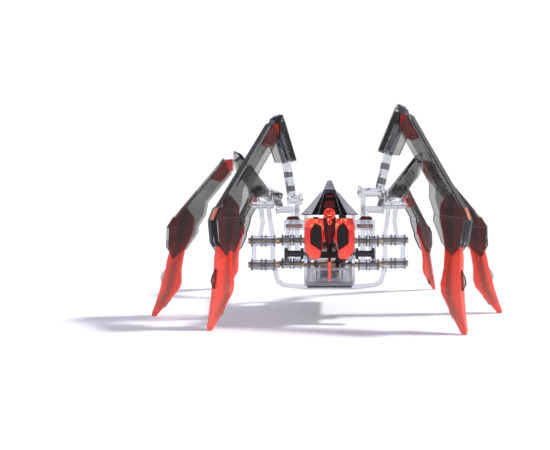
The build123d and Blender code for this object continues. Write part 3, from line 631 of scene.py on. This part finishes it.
def head_details():
    """Pale facet plates and a pale peak on the roof as painted highlights, dark ridge strips as painted
    shade, its painted glow, the LED's bezel and a dome for its painted glint, and the nose's facets.
    """
    for side, sign in SIDES.items():
        bm = bmesh.new()
        # painted highlight: a pale plate on each outer facet
        facet = mirrored(((10.3, 41.3), (3.7, 49.3), (2.25, 50.3), (2.6, 49.2), (6.7, 41.3)), sign)
        slanted(bm, facet, ROOF_SLOPE, 0.35)
        piece(f"roof_highlight_facet_{side}", bm, "chassis", "pale", bevel_mm=0.1)
        # painted shade: a dark strip beside each pale plate
        bm = bmesh.new()
        slanted(bm, mirrored(((4.5, 41.2), (2.0, 50.0), (1.8, 50.0), (4.1, 41.2)), sign), ROOF_SLOPE, 0.3)
        piece(f"roof_shade_strip_{side}", bm, "chassis", "band", bevel_mm=0.06)
    # painted highlight: a pale plate on the peak
    bm = bmesh.new()
    slanted(bm, [(2.0, 50.7), (0.85, 54.2), (-0.85, 54.2), (-2.0, 50.7)], PEAK_SLOPE, 0.3)
    piece("roof_peak_highlight", bm, "chassis", "pale", bevel_mm=0.1)
    # dark red patches in the roof's channel, with the maroon's painted glow
    bm = bmesh.new()
    prism(bm, [(-1.3, 48.6), (1.3, 48.6), (1.5, 47.6), (-1.5, 47.6)], -16.0 + Y_SHIFT, -15.3 + Y_SHIFT)
    prism(bm, [(-1.7, 46.4), (1.7, 46.4), (2.3, 43.6), (-2.3, 43.6)], -15.9 + Y_SHIFT, -15.3 + Y_SHIFT)
    piece("channel_glow", bm, "chassis", "maroon", bevel_mm=0.15)

    bm = bmesh.new()
    ring(bm, BEZEL, (0, Y_SHIFT + FACE_Y, LED_Z), (0, -1, 0), 32)
    piece("led_bezel", bm, "chassis", "red_lens", smooth=True)
    # painted glint: a small glowing dome below the LED
    bm = bmesh.new()
    lathe(bm, DOME, (0, Y_SHIFT - 19.0, GLINT_Z), (0, -1, 0), 24)
    piece("painted_led_glint", bm, "chassis", "led", smooth=True)
    bm = bmesh.new()
    for y0, points in ((-19.3, [(-1.0, 37.0), (1.0, 37.0), (0.5, 30.0), (-0.5, 30.0)]),
                       (-19.2, [(-2.0, 39.6), (-1.5, 39.6), (-0.75, 28.4), (-1.2, 31.5)]),
                       (-19.2, [(1.5, 39.6), (2.0, 39.6), (1.2, 31.5), (0.75, 28.4)])):
        prism(bm, points, y0 + Y_SHIFT, -18.9 + Y_SHIFT)
    piece("nose_facets", bm, "chassis", "maroon", bevel_mm=0.08)


def chassis_details():
    """The tray's frame, the stop pins and their caps, and the front clips."""
    bm = bmesh.new()
    outer = [(-9.1, 14.2), (9.1, 14.2), (8.0, 20.8), (-8.0, 20.8)]
    inner = [(-8.1, 15.2), (8.1, 15.2), (7.2, 19.9), (-7.2, 19.9)]
    back, front = -14.0, -14.7
    rings = [[bm.verts.new((x, y + Y_SHIFT, z)) for x, z in points]
             for y, points in ((back, outer), (front, outer), (front, inner), (back, inner))]
    for low, high in zip(rings, rings[1:] + rings[:1]):
        bridge(bm, low, high)
    piece("tray_frame", bm, "chassis", "pale", bevel_mm=0.1)
    for side, sign in SIDES.items():
        bm = bmesh.new()
        lathe(bm, STOP_PIN, (sign * 10.4, Y_SHIFT - 13.2, 36.8), (sign, 0, 0), 18)
        piece(f"stop_pin_{side}", bm, "chassis", "tan", smooth=True)
        bm = bmesh.new()
        prism(bm, mirrored(((11.0, 39.15), (16.6, 39.15), (16.0, 40.4), (12.4, 40.6)), sign),
              Y_SHIFT - 13.8, Y_SHIFT - 12.6)
        piece(f"stop_cap_{side}", bm, "chassis", "maroon", bevel_mm=0.15)
        bm = bmesh.new()
        prism(bm, mirrored(((4.2, 20.9), (5.9, 20.9), (5.9, 23.6), (4.6, 23.6)), sign),
              Y_SHIFT - 13.9, Y_SHIFT - 12.9)
        piece(f"front_clip_{side}", bm, "chassis", "gear_black", bevel_mm=0.12)


head_details()
chassis_details()


# ---- Floor, light and camera --------------------------------------------------------------------
def floor():
    """A sheet of white paper; its corners are in metres."""
    mesh = bpy.data.meshes.new("floor")
    mesh.from_pydata([(-6, -2, 0), (6, -2, 0), (6, 8, 0), (-6, 8, 0)], [], [(0, 1, 2, 3)])
    obj = bpy.data.objects.new("floor", mesh)
    bpy.context.collection.objects.link(obj)
    mat, tree, shader = new_material("floor_paper")
    tree.links.new(ramp(tree, noise(tree, 60), [(0.3, (0.93, 0.93, 0.94)), (0.7, (0.96, 0.96, 0.97))]),
                   shader.inputs["Base Color"])
    put(shader, Roughness=0.75)
    mesh.materials.append(mat)


def sun(name, towards, strength, spread_deg):
    """Parallel light that comes from this direction."""
    data = bpy.data.lights.new(name, "SUN")
    data.energy, data.angle = strength, math.radians(spread_deg)
    obj = bpy.data.objects.new(name, data)
    bpy.context.collection.objects.link(obj)
    obj.rotation_euler = (-Vector(towards)).to_track_quat("-Z", "Y").to_euler()


def world():
    """Soft white studio: bright near the horizon, dimmer and slightly lilac overhead."""
    studio = bpy.data.worlds.new("studio")
    studio.use_nodes = True
    tree = studio.node_tree
    coords = tree.nodes.new("ShaderNodeTexCoord")
    split = tree.nodes.new("ShaderNodeSeparateXYZ")
    tree.links.new(coords.outputs["Generated"], split.inputs[0])
    rise = spread(tree, split.outputs["Z"], 0.0, 1.0, 0.42, 0.80)
    shade = mixed(tree, rise, (1.03, 1.03, 1.05), (0.29, 0.28, 0.44))
    tree.links.new(shade, tree.nodes["Background"].inputs["Color"])
    bpy.context.scene.world = studio


CAMERA_BACK, CAMERA_UP = 220.0, 41.0  # from the crankshafts and from the floor


def camera():
    """A level view along +Y."""
    data = bpy.data.cameras.new("camera")
    data.lens, data.sensor_width = 35.28, 36.0
    data.shift_x, data.shift_y = -0.0991, -0.0182
    data.clip_start, data.clip_end = 0.01, 50.0
    obj = bpy.data.objects.new("camera", data)
    bpy.context.collection.objects.link(obj)
    obj.location = (0.0, (-CAMERA_BACK + Y_SHIFT) * MM, CAMERA_UP * MM)
    obj.rotation_euler = (math.radians(90), 0, 0)
    bpy.context.scene.camera = obj


floor()
world()
sun("key", (0.66, 0.10, 0.72), 2.7, 7.0)
camera()
bpy.context.scene.view_settings.view_transform = "Standard"
